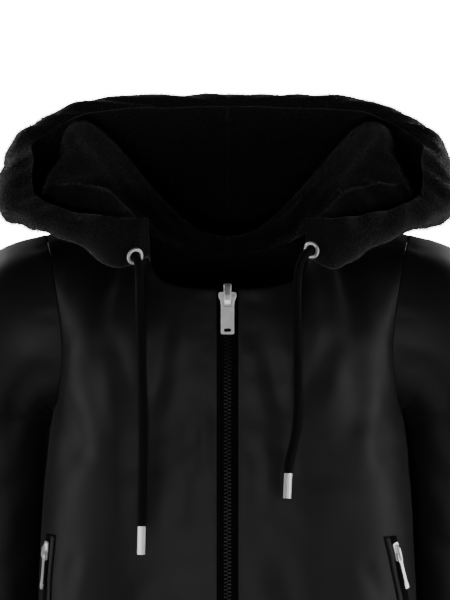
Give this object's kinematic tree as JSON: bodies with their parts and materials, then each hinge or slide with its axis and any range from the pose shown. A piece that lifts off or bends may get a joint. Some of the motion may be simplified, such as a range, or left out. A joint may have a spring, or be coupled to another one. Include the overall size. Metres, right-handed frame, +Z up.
{
  "type": "hooded bomber jacket",
  "caption": "Hooded zip-front bomber jacket in glossy black satin with a plush hood, drawcord, slanting zip pockets and rib-knit bands, in the hollow form it has when worn.",
  "frame": {"origin": "middle of the neck, level with the tops of the shoulders, where a wearer carries the jacket", "axes": "+Z up; the front with its zip faces -Y; +X is the wearer's left"},
  "size_m": [0.634, 0.3189, 0.7756],
  "materials": {
    "satin_shell": "glossy black satin-weave nylon",
    "hood_plush": "black short-pile plush on both sides",
    "rib_knit": "matte black rib knit",
    "zip_tape": "matte black woven tape",
    "drawcord": "black braided round cord",
    "nickel": "polished nickel"
  },
  "bodies": {
    "jacket": {"front_left": "satin_shell", "front_right": "satin_shell", "back": "satin_shell", "sleeve_left": "satin_shell", "sleeve_right": "satin_shell", "pocket_welt_left": "satin_shell", "pocket_welt_right": "satin_shell", "hood_left": "hood_plush", "hood_right": "hood_plush", "cuff_left": "rib_knit", "cuff_right": "rib_knit", "hem_rib": "rib_knit", "zip_tape_left": "zip_tape", "zip_tape_right": "zip_tape", "pocket_tape_left": "zip_tape", "pocket_tape_right": "zip_tape", "zip_slider": "nickel", "pocket_slider_left": "nickel", "pocket_slider_right": "nickel", "eyelet_left": "nickel", "eyelet_right": "nickel", "aglet_left": "nickel", "aglet_right": "nickel", "cord_left": "drawcord", "cord_right": "drawcord"},
    "front_zip_pull": {"zip_pull": "nickel"},
    "left_pocket_pull": {"pocket_pull_left": "nickel"},
    "right_pocket_pull": {"pocket_pull_right": "nickel"}
  },
  "joints": [
    {"name": "front_zip_pull_swing", "type": "hinge", "parent": "jacket", "child": "front_zip_pull", "pos_m": [0, -0.11909, -0.06108], "axis": [-1, 0, 0], "range_deg": [0, 150]},
    {"name": "left_pocket_pull_swing", "type": "hinge", "parent": "jacket", "child": "left_pocket_pull", "pos_m": [0.17372, -0.08533, -0.32111], "axis": [-0.6416, -0.7036, -0.3053], "range_deg": [0, 150]},
    {"name": "right_pocket_pull_swing", "type": "hinge", "parent": "jacket", "child": "right_pocket_pull", "pos_m": [-0.18687, -0.06529, -0.32181], "axis": [-0.4598, 0.8846, 0.0783], "range_deg": [0, 150]}
  ]
}
